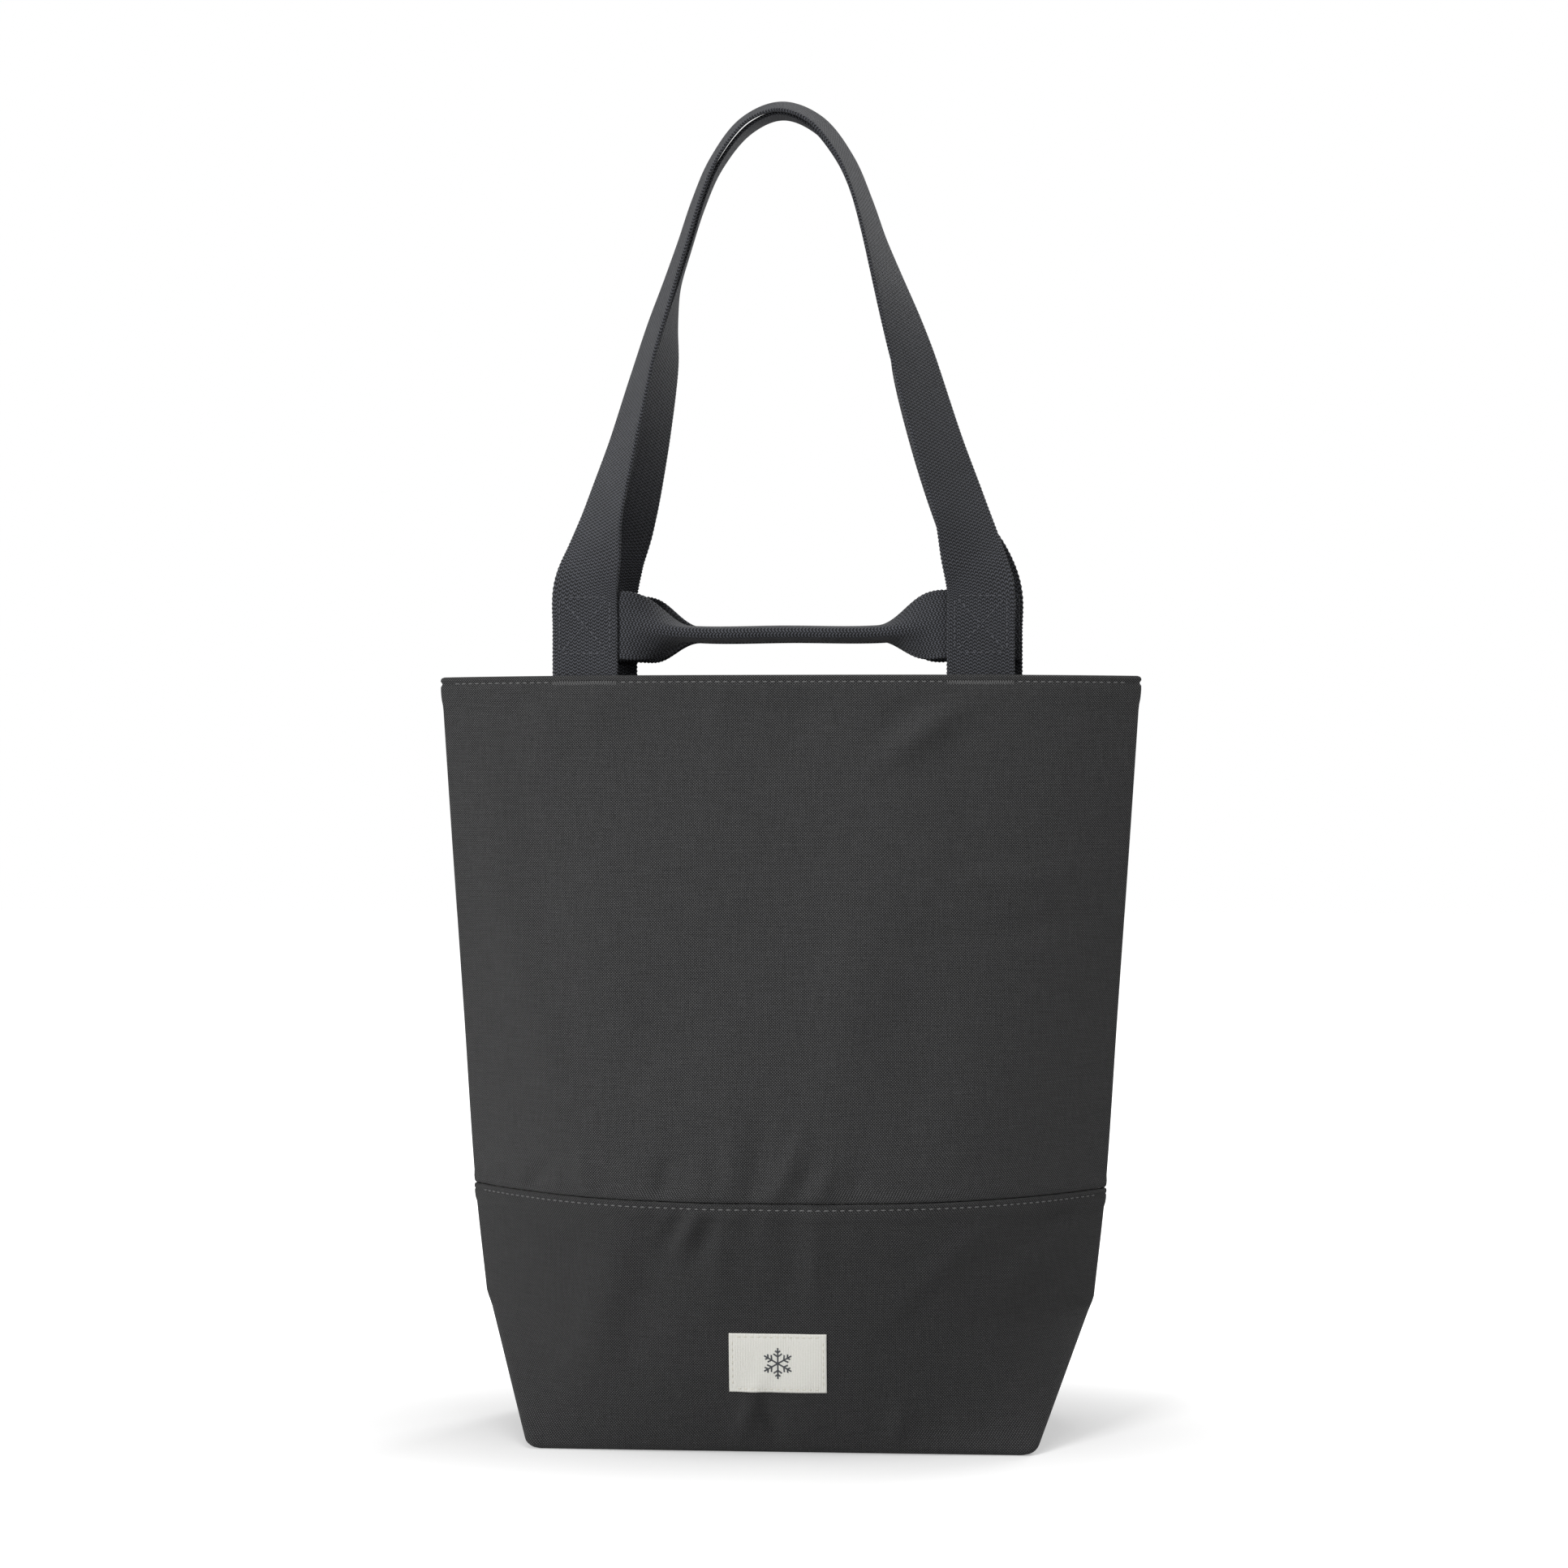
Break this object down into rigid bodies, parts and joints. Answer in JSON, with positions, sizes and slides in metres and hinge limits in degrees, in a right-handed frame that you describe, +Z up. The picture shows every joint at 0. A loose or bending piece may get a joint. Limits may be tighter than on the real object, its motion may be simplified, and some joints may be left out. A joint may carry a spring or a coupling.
{
  "type": "insulated cooler bag",
  "caption": "Insulated cooler tote with a boxed bottom, padded walls, webbing shoulder straps, short hand handles and a zipped top gusset.",
  "frame": {"origin": "middle of the underside of the base", "axes": "+Z up, front with the label faces -Y, +X to the viewer's right"},
  "size_m": [0.3326, 0.1438, 0.6314],
  "materials": {
    "bag_cloth": "matte",
    "lower_cloth": "matte",
    "webbing": "matte",
    "lining_film": "satin",
    "foam": "matte",
    "board": "matte",
    "facing_cloth": "matte",
    "zip_nylon": "satin",
    "zip_metal": "satin",
    "label_cotton": "matte",
    "thread": "matte"
  },
  "bodies": {
    "bag": {"outer_front_upper": "bag_cloth", "outer_front_lower": "lower_cloth", "foam_front_upper": "foam", "foam_front_lower": "foam", "lining_front": "lining_film", "rim_facing_front": "facing_cloth", "strap_tail_front_left": "webbing", "bar_tack_front_left": "thread", "strap_tail_front_right": "webbing", "bar_tack_front_right": "thread", "zip_gusset_front": "facing_cloth", "outer_back_upper": "bag_cloth", "outer_back_lower": "lower_cloth", "foam_back_upper": "foam", "foam_back_lower": "foam", "lining_back": "lining_film", "rim_facing_back": "facing_cloth", "strap_tail_back_left": "webbing", "bar_tack_back_left": "thread", "strap_tail_back_right": "webbing", "bar_tack_back_right": "thread", "zip_gusset_back": "facing_cloth", "seam_binding_left": "facing_cloth", "zip_tape_end_left": "zip_nylon", "zip_stop_left": "zip_nylon", "seam_binding_right": "facing_cloth", "zip_tape_end_right": "zip_nylon", "zip_stop_right": "zip_nylon", "outer_base": "lower_cloth", "base_board": "board", "foam_base": "foam", "lining_base": "lining_film", "label": "label_cotton"},
    "front_strap": {"shoulder_strap_front": "webbing", "short_handle_front": "webbing"},
    "front_flap": {"zip_flap_front": "facing_cloth", "zip_tape_front": "zip_nylon", "zip_coil_front": "zip_nylon"},
    "back_strap": {"shoulder_strap_back": "webbing", "short_handle_back": "webbing"},
    "back_flap": {"zip_flap_back": "facing_cloth", "zip_tape_back": "zip_nylon", "zip_coil_back": "zip_nylon"},
    "slider": {"zip_slider": "zip_metal"},
    "puller": {"zip_puller": "zip_metal"}
  },
  "joints": [
    {"name": "front_strap_swing", "type": "hinge", "parent": "bag", "child": "front_strap", "pos_m": [0, -0.0241, 0.358], "axis": [1, 0, 0], "range_deg": [0, 130]},
    {"name": "back_strap_swing", "type": "hinge", "parent": "bag", "child": "back_strap", "pos_m": [0, 0.0241, 0.358], "axis": [-1, 0, 0], "range_deg": [0, 130]},
    {"name": "front_flap_fold", "type": "hinge", "parent": "bag", "child": "front_flap", "pos_m": [0, -0.0135, 0.34665], "axis": [-1, 0, 0], "range_deg": [0, 80]},
    {"name": "back_flap_fold", "type": "hinge", "parent": "bag", "child": "back_flap", "pos_m": [0, 0.0135, 0.34665], "axis": [1, 0, 0], "range_deg": [0, 80]},
    {"name": "zip_slide", "type": "slide", "parent": "bag", "child": "slider", "axis": [-1, 0, 0], "range_m": [0, 0.214]},
    {"name": "puller_flip", "type": "hinge", "parent": "slider", "child": "puller", "pos_m": [0.107, 0, 0.3495], "axis": [0, 1, 0], "range_deg": [0, 170]}
  ]
}
